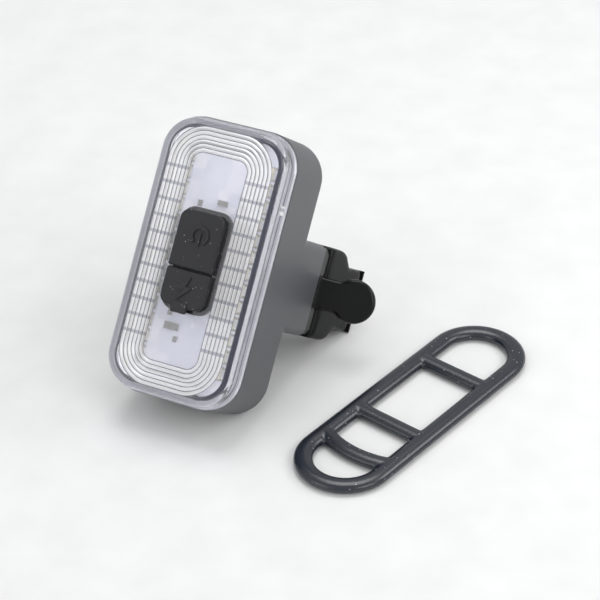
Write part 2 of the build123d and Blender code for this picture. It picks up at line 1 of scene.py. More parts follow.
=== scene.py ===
"""Bicycle safety light with its post saddle and its loose rubber ladder strap, on a pale studio floor.

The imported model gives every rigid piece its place. This script dresses those pieces, and makes the ones that
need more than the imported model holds: the clear lens with its prism ridges, the silicone button and port flap
with their raised marks, the board's solder pads, the ladder strap of round rod, and the bracket's two
mouldings with rounded edges.

Sizes are in millimetres where a name ends in mm or a class says so, and in metres in every mesh. The lamp's
own coordinates have X across it, Y into it from the seam of lens and housing, and Z up its long side.
"""

import json
import logging
import math
from dataclasses import dataclass, field
from enum import Enum
from typing import Any, Callable, Sequence

import bmesh
import bpy
from mathutils import Matrix, Vector


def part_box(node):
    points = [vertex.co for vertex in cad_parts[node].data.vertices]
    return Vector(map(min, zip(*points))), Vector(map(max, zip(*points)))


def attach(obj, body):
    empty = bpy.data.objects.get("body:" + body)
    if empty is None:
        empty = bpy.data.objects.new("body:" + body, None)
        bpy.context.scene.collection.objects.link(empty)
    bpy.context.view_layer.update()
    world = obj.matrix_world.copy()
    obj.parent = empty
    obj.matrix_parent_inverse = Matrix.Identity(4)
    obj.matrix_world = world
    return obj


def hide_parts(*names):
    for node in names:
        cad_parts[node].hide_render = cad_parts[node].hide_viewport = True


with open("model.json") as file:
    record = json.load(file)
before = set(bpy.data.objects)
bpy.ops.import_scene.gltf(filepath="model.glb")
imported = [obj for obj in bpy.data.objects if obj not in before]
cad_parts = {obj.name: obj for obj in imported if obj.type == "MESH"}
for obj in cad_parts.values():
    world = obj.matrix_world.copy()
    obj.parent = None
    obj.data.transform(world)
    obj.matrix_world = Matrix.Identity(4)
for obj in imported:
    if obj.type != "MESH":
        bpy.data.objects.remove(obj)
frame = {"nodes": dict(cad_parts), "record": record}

LOG = logging.getLogger("safety_light")
MM = 0.001

Point2 = tuple[float, float]
Point3 = tuple[float, float, float]
Socket = bpy.types.NodeSocket
Settings = dict[str | int, Any]
Feeds = dict[str | int, Socket]

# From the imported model, in lamp coordinates: the centre of the saddle's post, and the emitters' spacing.
POST_CENTRE_MM: Point3 = (0.0, 56.0, 0.0)
EMITTER_PITCH_MM = 4.3
# Moulded colour drifts slowly, over about this length.
DRIFT_MM = 14.0


class LensZone(Enum):
    """The parts of the lens whose surface differs, some by painted shade. The value is the zone's material
    number.
    """

    POLISHED = 0
    RIDGE = 1
    VALLEY = 2
    WINDOW = 3
    FRAME = 4
    WELD = 5


def linear(hex_colour: str) -> tuple[float, float, float, float]:
    """Turn an sRGB hex colour into the linear colour that a shader takes.

    Args:
        hex_colour: The colour as "#RRGGBB".

    Returns:
        Red, green, blue and alpha in linear light.
    """
    channels = [int(hex_colour[start:start + 2], 16) / 255 for start in (1, 3, 5)]
    bright = [c / 12.92 if c <= 0.04045 else ((c + 0.055) / 1.055) ** 2.4 for c in channels]
    return (*bright, 1.0)


class Coat:
    """A material in the making: its node tree, its Principled shader, and object coordinates in metres."""

    def __init__(self, material: bpy.types.Material, settings: Settings) -> None:
        """Start the node tree with its shader.

        Args:
            material: The material.
            settings: Values by the name of the shader's input.
        """
        material.use_nodes = True
        self.tree = material.node_tree
        self.tree.nodes.clear()
        self.shader = self.add("BsdfPrincipled", settings)
        self.place = self.add("TexCoord").outputs["Object"]

    def add(self, kind: str, settings: Settings | None = None, links: Feeds | None = None) -> bpy.types.Node:
        """Add one node, with its settings and what feeds it.

        Args:
            kind: The node's type, without the leading "ShaderNode".
            settings: Values by a property's name, or by an input's name or number.
            links: The sockets that feed inputs, by the input's name or number.

        Returns:
            The new node.
        """
        node = self.tree.nodes.new("ShaderNode" + kind)
        for name, value in (settings or {}).items():
            if isinstance(name, str) and name not in node.inputs:
                setattr(node, name, value)
            else:
                node.inputs[name].default_value = value
        for name, socket in (links or {}).items():
            self.tree.links.new(socket, node.inputs[name])
        return node

    def feed(self, name: str, socket: Socket) -> None:
        """Let a socket feed the shader's input of that name."""
        self.tree.links.new(socket, self.shader.inputs[name])


@dataclass(frozen=True)
class Finish:
    """A real material and how its surface was made. Subclasses add what shows on it.

    gloss is the shader's specular level. grain_mm and height_mm are a grain's size and height, and sway is
    the share by which roughness and colour drift.
    """

    name: str
    colour: str
    roughness: float
    ior: float = 1.5
    metallic: float = 0.0
    gloss: float = 0.5
    # A plain moulded or plated skin ripples more finely than this. It is drawn as coarse as it needs to show.
    grain_mm: float = 0.5
    height_mm: float = 0.004
    sway: float = 0.06

    def make(self) -> bpy.types.Material:
        """Build the Blender material.

        Returns:
            The material, with its shader linked to the output.
        """
        material = bpy.data.materials.new(self.name)
        material.diffuse_color = linear(self.colour)
        coat = Coat(material, {
            "Base Color": linear(self.colour),
            "Roughness": self.roughness,
            "IOR": self.ior,
            "Metallic": self.metallic,
            "Specular IOR Level": self.gloss,
        })
        coat.add("OutputMaterial", links={"Surface": self.dress(coat)})
        return material

    def dress(self, coat: Coat) -> Socket:
        """Add what the surface shows to the bare shader.

        Args:
            coat: The material in the making.

        Returns:
            The socket for the surface.
        """
        self.add_grain(coat)
        return coat.shader.outputs["BSDF"]

    def add_grain(self, coat: Coat) -> None:
        """Give the surface a fine grain in its height and roughness, and a slow drift in its colour.

        Args:
            coat: The material in the making.
        """
        fine, slow = (
            coat.add("TexNoise", {"Scale": 1 / (size * MM), "Detail": detail}, {"Vector": coat.place})
            for size, detail in ((self.grain_mm, 3.0), (DRIFT_MM, 2.0))
        )
        less, more = 1 - self.sway, 1 + self.sway
        spread = {"To Min": self.roughness * less, "To Max": self.roughness * more}
        coat.feed("Roughness", coat.add("MapRange", spread, {"Value": fine.outputs["Fac"]}).outputs["Result"])
        colour = linear(self.colour)[:3]
        dark = (*(c * less for c in colour), 1.0)
        light = (*(min(1.0, c * more) for c in colour), 1.0)
        drift = coat.add("Mix", {"data_type": "RGBA", 6: dark, 7: light}, {0: slow.outputs["Fac"]})
        coat.feed("Base Color", drift.outputs[2])
        relief = {"Strength": 1.0, "Distance": self.height_mm * MM}
        coat.feed("Normal", coat.add("Bump", relief, {"Height": fine.outputs["Fac"]}).outputs["Normal"])


@dataclass(frozen=True)
class SparkEroded(Finish):
    """Plastic moulded in a spark-eroded tool: an even, dull grain that spreads every highlight."""

    ior: float = 1.53
    # The tool's grain is about 0.1 mm, drawn two to three times as coarse so that it shows in the picture.
    grain_mm: float = 0.28
    height_mm: float = 0.012
    sway: float = 0.07


@dataclass(frozen=True)
class DustyRubber(Finish):
    """Silicone or rubber moulded in a blasted tool: soft sheen, with pale dust that clings to it.

    speck_share is the share of places that hold a speck, and speck_radius is the largest speck's radius as a
    share of the spacing.
    """

    # A blasted tool's grain is about 0.1 mm, drawn four to five times as coarse so that it shows.
    grain_mm: float = 0.4
    height_mm: float = 0.01
    sway: float = 0.1
    # A speck of dust is about 0.1 mm across, drawn up to 0.3 mm or more across so that it shows.
    speck_spacing_mm: float = 1.6
    speck_share: float = 0.35
    speck_radius: float = 0.2
    dust: str = "#9A9CA0"

    def dress(self, coat: Coat) -> Socket:
        """Add the blasted grain and the specks of dust.

        Args:
            coat: The material in the making.

        Returns:
            The socket for the surface.
        """
        self.add_grain(coat)
        cells = coat.add("TexVoronoi", {"Scale": 1 / (self.speck_spacing_mm * MM)}, {"Vector": coat.place})
        chance = coat.add("SeparateColor", links={"Color": cells.outputs["Color"]}).outputs["Red"]
        sizes = {"From Min": 1 - self.speck_share, "To Max": self.speck_radius}
        radius = coat.add("MapRange", sizes, {"Value": chance}).outputs["Result"]
        edge = {0: cells.outputs["Distance"], 1: radius}
        inside = coat.add("Math", {"operation": "LESS_THAN"}, edge).outputs["Value"]
        bare = coat.shader.inputs["Base Color"].links[0].from_socket
        dusted = coat.add("Mix", {"data_type": "RGBA", 7: linear(self.dust)}, {0: inside, 6: bare})
        coat.feed("Base Color", dusted.outputs[2])
        return coat.shader.outputs["BSDF"]


@dataclass(frozen=True)
class ClearPolycarbonate(Finish):
    """Clear injection-moulded polycarbonate from a polished tool: sharp glints, and the board shows through.

    haze is the share of light that the surface scatters, as the bead-blasted flanks of the ridges do.
    """

    ior: float = 1.58
    haze: float = 0.0

    def dress(self, coat: Coat) -> Socket:
        """Make it clear, and let lamps light what is behind it.

        Args:
            coat: The material in the making.

        Returns:
            The socket for the surface.
        """
        coat.shader.inputs["Transmission Weight"].default_value = 1.0 - self.haze
        clear = coat.add("BsdfTransparent", {"Color": linear(self.colour)})
        shadow = coat.add("LightPath").outputs["Is Shadow Ray"]
        sides = {0: shadow, 1: coat.shader.outputs["BSDF"], 2: clear.outputs["BSDF"]}
        return coat.add("MixShader", links=sides).outputs["Shader"]


@dataclass(frozen=True)
class RidgeFlank(ClearPolycarbonate):
    """The blasted flanks of the ridges, with a painted image of the emitters behind: grey gaps between them.

    up and origin are the lamp's, in the frame. painted_gap_share is a gap's share of the step between two
    emitters.
    """

    up: Point3 = (0.0, 0.0, 1.0)
    origin: Point3 = (0.0, 0.0, 0.0)
    pitch_mm: float = EMITTER_PITCH_MM
    # The last emitter at each end lies behind the ridges' corners, which break up its image.
    emitters: int = 11
    painted_gap_share: float = 0.2
    # The painted grey of the gaps in the emitters' image.
    gap: str = "#C2C3CA"

    def dress(self, coat: Coat) -> Socket:
        """Paint grey gaps across the ridges beside the emitters: the painted image of the emitters behind.

        Args:
            coat: The material in the making.

        Returns:
            The socket for the surface.
        """
        shifted = coat.add("VectorMath", {"operation": "SUBTRACT", 1: self.origin}, {0: coat.place})
        pitches = {"operation": "DOT_PRODUCT", 1: tuple(axis / (self.pitch_mm * MM) for axis in self.up)}
        along = coat.add("VectorMath", pitches, {0: shifted.outputs["Vector"]}).outputs["Value"]
        phase = coat.add("Math", {"operation": "FRACT"}, {0: along}).outputs["Value"]
        reach = coat.add("Math", {"operation": "ABSOLUTE"}, {0: along}).outputs["Value"]
        # Painted image: the grey gaps in the emitters' image, beside the emitters.
        gap, beside = (
            coat.add("Math", {"operation": "LESS_THAN", 1: limit}, {0: value}).outputs["Value"]
            for limit, value in ((self.painted_gap_share, phase), (self.emitters / 2, reach))
        )
        share = coat.add("Math", {"operation": "MULTIPLY"}, {0: gap, 1: beside}).outputs["Value"]
        tones = {"data_type": "RGBA", 6: linear(self.colour), 7: linear(self.gap)}
        coat.feed("Base Color", coat.add("Mix", tones, {0: share}).outputs[2])
        return super().dress(coat)


@dataclass(frozen=True)
class SolderMask(Finish):
    """White solder mask, screen printed and cured: a smooth gloss with faint copper planes under it."""

    ior: float = 1.52
    # Such a board's copper planes are about this wide.
    plane_mm: float = 5.0
    plane: str = "#DEE1EC"

    def dress(self, coat: Coat) -> Socket:
        """Add the copper planes that show through the mask.

        Args:
            coat: The material in the making.

        Returns:
            The socket for the surface.
        """
        squares = {"distance": "CHEBYCHEV", "Scale": 1 / (self.plane_mm * MM)}
        planes = coat.add("TexVoronoi", squares, {"Vector": coat.place})
        share = coat.add("SeparateColor", links={"Color": planes.outputs["Color"]}).outputs["Green"]
        tones = {"data_type": "RGBA", 6: linear(self.colour), 7: linear(self.plane)}
        coat.feed("Base Color", coat.add("Mix", tones, {0: share}).outputs[2])
        return coat.shader.outputs["BSDF"]


class Palette:
    """Every finish on the object, made once and given out by the record's slot."""

    def __init__(self, place: "LampPlace") -> None:
        """Build the materials, one for each slot of the record.

        Args:
            place: Where the leaning lamp stands, for the finish that follows the emitters.
        """
        finishes: dict[str, Finish] = {
            # Dark grey ABS: dull, with broad soft highlights.
            "housing_abs": SparkEroded("spark_eroded_abs", "#56575A", 0.46),
            # Water clear, with a sharp glint along every edge.
            "clear_lens": ClearPolycarbonate("clear_polycarbonate", "#FCFCFF", 0.03),
            # A matt black line between lens and shell.
            "seal_silicone": Finish("black_seal_silicone", "#1C1C1E", 0.6, 1.41),
            # A bright ground behind the lens, with faint paler and darker planes.
            "board_white": SolderMask("white_solder_mask", "#F3F4F8", 0.3),
            # Phosphor in clear resin: cream, also when it is off.
            "led_phosphor": Finish("phosphor_resin", "#F4EEDA", 0.4, 1.45),
            # Moulded epoxy: small, dull, warm grey blocks.
            "component_grey": Finish("component_epoxy", "#8E8B86", 0.5, 1.52),
            # Moulded nylon: half-matt black.
            "switch_black": Finish("switch_nylon", "#202022", 0.45, 1.52),
            # Folded sheet with a nickel plate: bright, with soft reflections.
            "port_steel": Finish("nickel_plated_steel", "#B9B8B4", 0.28, metallic=1.0),
            # Near black with a dull sheen, and dust that will not wipe off.
            "cover_silicone": DustyRubber("moulded_silicone", "#2A2A2C", 0.5, 1.41, speck_spacing_mm=0.75),
            # Die-cut foam: dead matt charcoal.
            "foam_tape": Finish("closed_cell_foam", "#3A3A3C", 0.9, 1.45),
            # Foil heat-sealed in film: silver, with blurred reflections.
            "battery_wrap": Finish("laminated_foil", "#C4C6CA", 0.35, metallic=1.0),
            # Natural nylon: off-white and slightly waxy.
            "connector_white": Finish("connector_nylon", "#EFEFE6", 0.4, 1.52),
            # Extruded silicone: wires with a soft sheen.
            "lead_red": Finish("red_silicone_insulation", "#B4231F", 0.5, 1.41),
            "lead_black": Finish("black_silicone_insulation", "#1B1B1D", 0.5, 1.41),
            # Nylon whose skin is smoother than the shell's: deep black, with tighter highlights.
            "bracket_black": SparkEroded("glass_filled_nylon", "#050607", 0.24, gloss=0.28, grain_mm=0.22),
            # Softer and less glossy than the bracket that it lines, with little dust.
            "pad_rubber": DustyRubber(
                "saddle_elastomer", "#0C0D0E", 0.42, 1.48, gloss=0.35, speck_share=0.15,
            ),
            # Bright zinc: cooler than the nickel.
            "screw_steel": Finish("zinc_plated_steel", "#A9ABAD", 0.3, metallic=1.0),
            # Blue-black, glossy along its rods, with the most dust.
            "strap_rubber": DustyRubber(
                "compression_moulded_rubber", "#161D28", 0.26, 1.52, gloss=0.75, grain_mm=0.5, height_mm=0.02,
                speck_spacing_mm=1.0, speck_share=0.4,
            ),
        }
        self.materials = {slot: finish.make() for slot, finish in finishes.items()}
        self.lens_zones = {
            LensZone.POLISHED: self.materials["clear_lens"],
            # The flanks of the ridges scatter the emitters' light, so they look bright and milky.
            # The emitters' image in the flanks is painted: grey gaps at the emitters' pitch.
            LensZone.RIDGE: RidgeFlank(
                "ridge_painted_emitters_polycarbonate", "#FFFFFE", 0.12, haze=0.5, up=place.up, origin=place.origin
            ).make(),
            # Each valley turns away the light that meets it: its thin dark line is painted shade, a grey tint.
            LensZone.VALLEY: ClearPolycarbonate("valley_painted_shade_polycarbonate", "#6E6E78", 0.1, haze=0.6).make(),
            # The window is lapped, not polished, and blurs the board a little.
            LensZone.WINDOW: ClearPolycarbonate("lapped_polycarbonate", "#FAFAFF", 0.1).make(),
            # A frame printed round the underside hides the board's edge: a navy line round the ridges.
            LensZone.FRAME: ClearPolycarbonate("printed_polycarbonate", "#23263C", 0.1, haze=0.9).make(),
            # The ultrasonic weld leaves its face crazed: a pale rim, seen through the flange.
            LensZone.WELD: ClearPolycarbonate("welded_polycarbonate", "#F6F7FF", 0.12, haze=0.5).make(),
        }

    def dress_nodes(self, record: dict[str, Any], nodes: dict[str, bpy.types.Object]) -> None:
        """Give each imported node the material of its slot.

        Args:
            record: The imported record.
            nodes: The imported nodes, by name.
        """
        for part in record["subparts"]:
            for slot in nodes[part["node"]].material_slots:
                slot.material = self.materials[part["material_slot"]]

    def put_on(self, piece: bpy.types.Object, slot: str) -> None:
        """Give a new piece the material of a slot.

        Args:
            piece: The piece. It loses the materials that it had.
            slot: The record's material slot.
        """
        piece.data.materials.clear()
        piece.data.materials.append(self.materials[slot])

    def put_on_lens(self, lens: bpy.types.Object) -> None:
        """Give the lens a material for each of its zones.

        Args:
            lens: The lens, whose mesh has no material yet.
        """
        for zone in LensZone:
            lens.data.materials.append(self.lens_zones[zone])


@dataclass(frozen=True)
class LampPlace:
    """Where the leaning lamp stands. It turns lamp coordinates in millimetres into the frame's metres."""

    lean: float
    origin: Point3

    @classmethod
    def from_record(cls, record: dict[str, Any]) -> "LampPlace":
        """Read the lean and the origin from the saddle's mount.

        Args:
            record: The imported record. Its mount is at the post's centre.

        Returns:
            The lamp's place.
        """
        mount = next(m for m in record["mounts"] if m["name"] == "post_saddle")
        lean = math.atan2(mount["axis"][1], mount["axis"][2])
        shift = cls(lean, (0.0, 0.0, 0.0)).to_frame(*POST_CENTRE_MM)
        x, y, z = (at - moved for at, moved in zip(mount["pos_m"], shift))
        return cls(lean, (x, y, z))

    @property
    def up(self) -> Point3:
        """The lamp's own up direction, in the frame."""
        return (0.0, math.sin(self.lean), math.cos(self.lean))

    def to_frame(self, x: float, y: float, z: float) -> Point3:
        """Turn one lamp point into the frame's metres.

        Args:
            x: Millimetres across the lamp.
            y: Millimetres into it from the seam.
            z: Millimetres up its long side.

        Returns:
            The point in the frame.
        """
        c, s = math.cos(self.lean), math.sin(self.lean)
        ox, oy, oz = self.origin
        return (ox + x * MM, oy + (y * c + z * s) * MM, oz + (z * c - y * s) * MM)


@dataclass(frozen=True)
class Outline:
    """A rectangle in lamp millimetres. Its radii run upper left, upper right, lower right, lower left."""

    left: float
    right: float
    bottom: float
    top: float
    radii: tuple[float, float, float, float]

    @classmethod
    def centred(cls, width: float, height: float, radius: float, x: float = 0.0, z: float = 0.0) -> "Outline":
        """A rectangle with four equal corners round (x, z), or else round the lamp's axis."""
        return cls(x - width / 2, x + width / 2, z - height / 2, z + height / 2, (radius,) * 4)

    def inset(self, by: float, least_radius: float = 0.06) -> "Outline":
        """Draw the outline in all round.

        Args:
            by: How far, or how far out where it is negative.
            least_radius: The smallest radius that a corner keeps.

        Returns:
            The smaller outline.
        """
        radii = tuple(max(least_radius, r - by) for r in self.radii)
        return Outline(self.left + by, self.right - by, self.bottom + by, self.top - by, radii)

    def points(self, per_corner: int) -> list[Point2]:
        """Walk the outline from its upper left corner.

        Args:
            per_corner: How many steps each corner's arc has.

        Returns:
            The points, as (x, z), with as many for every outline of the same step count.
        """
        tl, tr, br, bl = self.radii
        corners = (
            (self.left + tl, self.top - tl, tl, 180.0),
            (self.right - tr, self.top - tr, tr, 90.0),
            (self.right - br, self.bottom + br, br, 0.0),
            (self.left + bl, self.bottom + bl, bl, -90.0),
        )
        walk = []
        for cx, cz, radius, start in corners:
            angles = [math.radians(start - 90.0 * step / per_corner) for step in range(per_corner + 1)]
            walk += on_circle((cx, cz), radius, angles)
        return walk


def on_circle(centre: Point2, radius: float, angles: Sequence[float]) -> list[Point2]:
    """Give a circle's points at some angles, which are in radians."""
    return [(centre[0] + radius * math.cos(a), centre[1] + radius * math.sin(a)) for a in angles]


def arc(start: Point2, end: Point2, centre: Point2, steps: int) -> list[Point2]:
    """Points of a quarter-turn or smaller arc.

    Args:
        start: Where the arc starts, as (inset, depth).
        end: Where it ends.
        centre: Its centre.
        steps: How many steps it has.

    Returns:
        The points from its start to its end, as (inset, depth).
    """
    a0 = math.atan2(start[1] - centre[1], start[0] - centre[0])
    a1 = math.atan2(end[1] - centre[1], end[0] - centre[0])
    swing = (a1 - a0 + math.pi) % (2 * math.pi) - math.pi
    angles = [a0 + swing * step / steps for step in range(1, steps + 1)]
    return [start] + on_circle(centre, math.dist(start, centre), angles)


class MeshMaker:
    """Gathers points and faces in a piece's own coordinates, and makes one mesh of them."""

    def __init__(self, to_frame: Callable[[float, float, float], Point3]) -> None:
        """Start an empty mesh.

        Args:
            to_frame: Turns a point in the maker's own coordinates into the frame's metres.
        """
        self.to_frame = to_frame
        self.points: list[Point3] = []
        self.faces: list[tuple[int, ...]] = []
        self.zones: list[int] = []

    def add_ring(self, outline: Sequence[Point2], depth: float) -> list[int]:
        """Add a ring of points at one depth and return their numbers."""
        return self.add_points([(x, depth, z) for x, z in outline])

    def add_points(self, points: Sequence[Point3]) -> list[int]:
        """Add points.

        Args:
            points: The points, in the coordinates that to_frame takes.

        Returns:
            Their numbers.
        """
        first = len(self.points)
        self.points.extend(self.to_frame(*point) for point in points)
        return list(range(first, len(self.points)))

    def add_face(self, corners: Sequence[int], zone: int = 0) -> None:
        """Add one face with its material number."""
        self.faces.append(tuple(corners))
        self.zones.append(zone)

    def bridge(self, one: Sequence[int], other: Sequence[int], zone: int = 0) -> None:
        """Join two rings of as many points with a band of faces.

        Args:
            one: The first ring's point numbers.
            other: The second ring's, in step with the first.
            zone: The band's material number.
        """
        count = len(one)
        for i in range(count):
            j = (i + 1) % count
            self.add_face((one[i], one[j], other[j], other[i]), zone)

    def skin(self, rings: Sequence[tuple[Sequence[Point2], float]], zone: int = 0) -> None:
        """Skin a row of rings and close it at both ends.

        Args:
            rings: Each ring's points and its depth.
            zone: The material number of every face.
        """
        numbers = [self.add_ring(outline, depth) for outline, depth in rings]
        for one, other in zip(numbers, numbers[1:]):
            self.bridge(one, other, zone)
        self.add_face(tuple(reversed(numbers[0])), zone)
        self.add_face(numbers[-1], zone)

    def skin_loop(self, rings: Sequence[tuple[Sequence[Point2], float, LensZone]]) -> None:
        """Skin a row of rings whose last is joined to the first.

        Args:
            rings: Each ring's points, its depth, and the zone of the band that follows it.
        """
        numbers = [self.add_ring(outline, depth) for outline, depth, _ in rings]
        for ring, (_, _, zone) in enumerate(rings):
            self.bridge(numbers[ring], numbers[(ring + 1) % len(numbers)], zone.value)

    def prism(self, outline: Sequence[Point2], back: float, front: float, draft: float) -> None:
        """Add a closed prism with drafted sides.

        Args:
            outline: The outline of its back, as (x, z).
            back: The depth of its back.
            front: The depth of its front.
            draft: The share by which its front is smaller.
        """
        cx = sum(x for x, _ in outline) / len(outline)
        cz = sum(z for _, z in outline) / len(outline)
        small = [(cx + (x - cx) * (1 - draft), cz + (z - cz) * (1 - draft)) for x, z in outline]
        self.skin([(outline, back), (small, front)])

    def make(self, name: str, crease_degrees: float = 32.0) -> bpy.types.Object:
        """Make the object.

        Args:
            name: The piece's name.
            crease_degrees: Edges sharper than this stay sharp.

        Returns:
            The linked mesh object, with its faces turned outward.
        """
        mesh = bpy.data.meshes.new(name)
        mesh.from_pydata(self.points, [], self.faces)
        mesh.polygons.foreach_set("material_index", self.zones)
        mesh.validate()
        piece = bpy.data.objects.new(name, mesh)
        bpy.context.scene.collection.objects.link(piece)
        smooth_shade(piece, crease_degrees)
        return piece


def smooth_shade(piece: bpy.types.Object, crease_degrees: float) -> None:
    """Turn the faces outward, and shade them smooth but for sharp edges.

    Args:
        piece: The mesh object.
        crease_degrees: Edges sharper than this stay sharp.
    """
    work = bmesh.new()
    work.from_mesh(piece.data)
    bmesh.ops.remove_doubles(work, verts=work.verts, dist=1e-7)
    bmesh.ops.recalc_face_normals(work, faces=work.faces)
    work.to_mesh(piece.data)
    work.free()
    piece.data.shade_smooth()
    piece.data.set_sharp_from_angle(angle=math.radians(crease_degrees))


@dataclass
class PrismLens:
    """The clear cap: a rounded shoulder, a thin flange, and ridges round a smooth window. Millimetres."""

    place: LampPlace
    outline: Outline = field(default_factory=lambda: Outline.centred(37.0, 72.0, 9.5))
    proud: float = 6.0
    flange_inset: float = 0.25
    step: float = 0.6
    flange: float = 1.8
    wall: float = 1.9
    shoulder: float = 2.4
    inner_round: float = 0.6
    frame_width: float = 0.15
    weld_gap: float = 0.03
    edge_round: float = 0.12
    window: Outline = field(default_factory=lambda: Outline.centred(15.6, 53.6, 3.0))
    hole: Outline = field(default_factory=lambda: Outline.centred(11.6, 24.0, 2.3))
    ridge_count: int = 6
    ridge_pitch: float = 1.1
    ridge_height: float = 0.32
    crest_half: float = 0.05
    valley_half: float = 0.1
    gate_height: float = 17.4
    gate_width: float = 2.4
    gate_depth: float = 3.6
    gate_root: float = 17.62
    gate_round: float = 0.12
    gate_bevel: float = 0.2
    gate_sunk: float = 0.02
    corner_steps: int = 14
    shoulder_steps: int = 8
    inner_steps: int = 5
    gate_steps: int = 3
    crease_degrees: float = 20.0

    def front_rings(self) -> list[tuple[Outline, float, LensZone]]:
        """The outer skin from the cover's hole to the seam.

        Returns:
            Outlines with their depths, and the zone of the band that follows each.
        """
        face = -self.proud
        crest_face = face - self.ridge_height
        rings = [
            (self.hole, face, LensZone.WINDOW),
            (self.window.inset(self.valley_half), face, LensZone.VALLEY),
            (self.window.inset(-self.valley_half), face, LensZone.RIDGE),
        ]
        for ridge in range(self.ridge_count):
            crest, valley = (ridge + 0.5) * self.ridge_pitch, (ridge + 1) * self.ridge_pitch
            rings += [
                (self.window.inset(self.crest_half - crest), crest_face, LensZone.RIDGE),
                (self.window.inset(-self.crest_half - crest), crest_face, LensZone.RIDGE),
                (self.window.inset(self.valley_half - valley), face, LensZone.VALLEY),
                (self.window.inset(-self.valley_half - valley), face, LensZone.RIDGE),
            ]
        rings[-1] = (*rings[-1][:2], LensZone.POLISHED)
        side = self.flange_inset + self.step
        start, end = (side + self.shoulder, face), (side, face + self.shoulder)
        turn = arc(start, end, (start[0], end[1]), self.shoulder_steps)
        edge = self.edge_round
        turn += [
            (side, -self.flange),
            (self.flange_inset + edge, -self.flange),
            (self.flange_inset, -self.flange + edge),
            (self.flange_inset, -edge),
        ]
        rings += [(self.outline.inset(inset), depth, LensZone.POLISHED) for inset, depth in turn]
        return rings + [(self.outline.inset(self.flange_inset + edge), -self.weld_gap, LensZone.WELD)]

    def back_rings(self) -> list[tuple[Outline, float, LensZone]]:
        """The inner skin from the seam back to the cover's hole.

        Returns:
            Outlines with their depths, and the zone of the band that follows each.
        """
        inner = self.flange_inset + self.step + self.wall
        underside = self.wall - self.proud
        start, end = (inner, underside + self.inner_round), (inner + self.inner_round, underside)
        turn = arc(start, end, (end[0], start[1]), self.inner_steps)
        rings = [(self.outline.inset(inner), -self.weld_gap, LensZone.POLISHED)]
        rings += [(self.outline.inset(inset), depth, LensZone.FRAME) for inset, depth in turn]
        print_end = inner + self.inner_round + self.frame_width
        rings.append((self.outline.inset(print_end), underside, LensZone.POLISHED))
        return rings + [(self.hole, underside, LensZone.POLISHED)]

    def add_gate(self, maker: MeshMaker) -> None:
        """Add the block of the moulding gate, which stands on the right side above the flange.

        Args:
            maker: The lens's mesh.
        """
        half, right = self.gate_width / 2, self.outline.right - self.flange_inset
        low, high = self.gate_height - half, self.gate_height + half
        block = Outline(self.gate_root, right, low, high, (self.gate_round,) * 4)
        rings = (
            (block, self.gate_sunk - self.flange),
            (block, self.gate_bevel - self.gate_depth),
            (block.inset(self.gate_round), -self.gate_depth),
        )
        maker.skin([(ring.points(self.gate_steps), depth) for ring, depth in rings], LensZone.RIDGE.value)

    def build(self, palette: Palette) -> bpy.types.Object:
        """Make the lens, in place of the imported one.

        Args:
            palette: The finishes.

        Returns:
            The lens.
        """
        maker = MeshMaker(self.place.to_frame)
        rings = self.front_rings() + self.back_rings()
        maker.skin_loop([(ring.points(self.corner_steps), depth, zone) for ring, depth, zone in rings])
        self.add_gate(maker)
        lens = maker.make("prism_lens", self.crease_degrees)
        palette.put_on_lens(lens)
        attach(lens, "lamp")
        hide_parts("lens")
        return lens


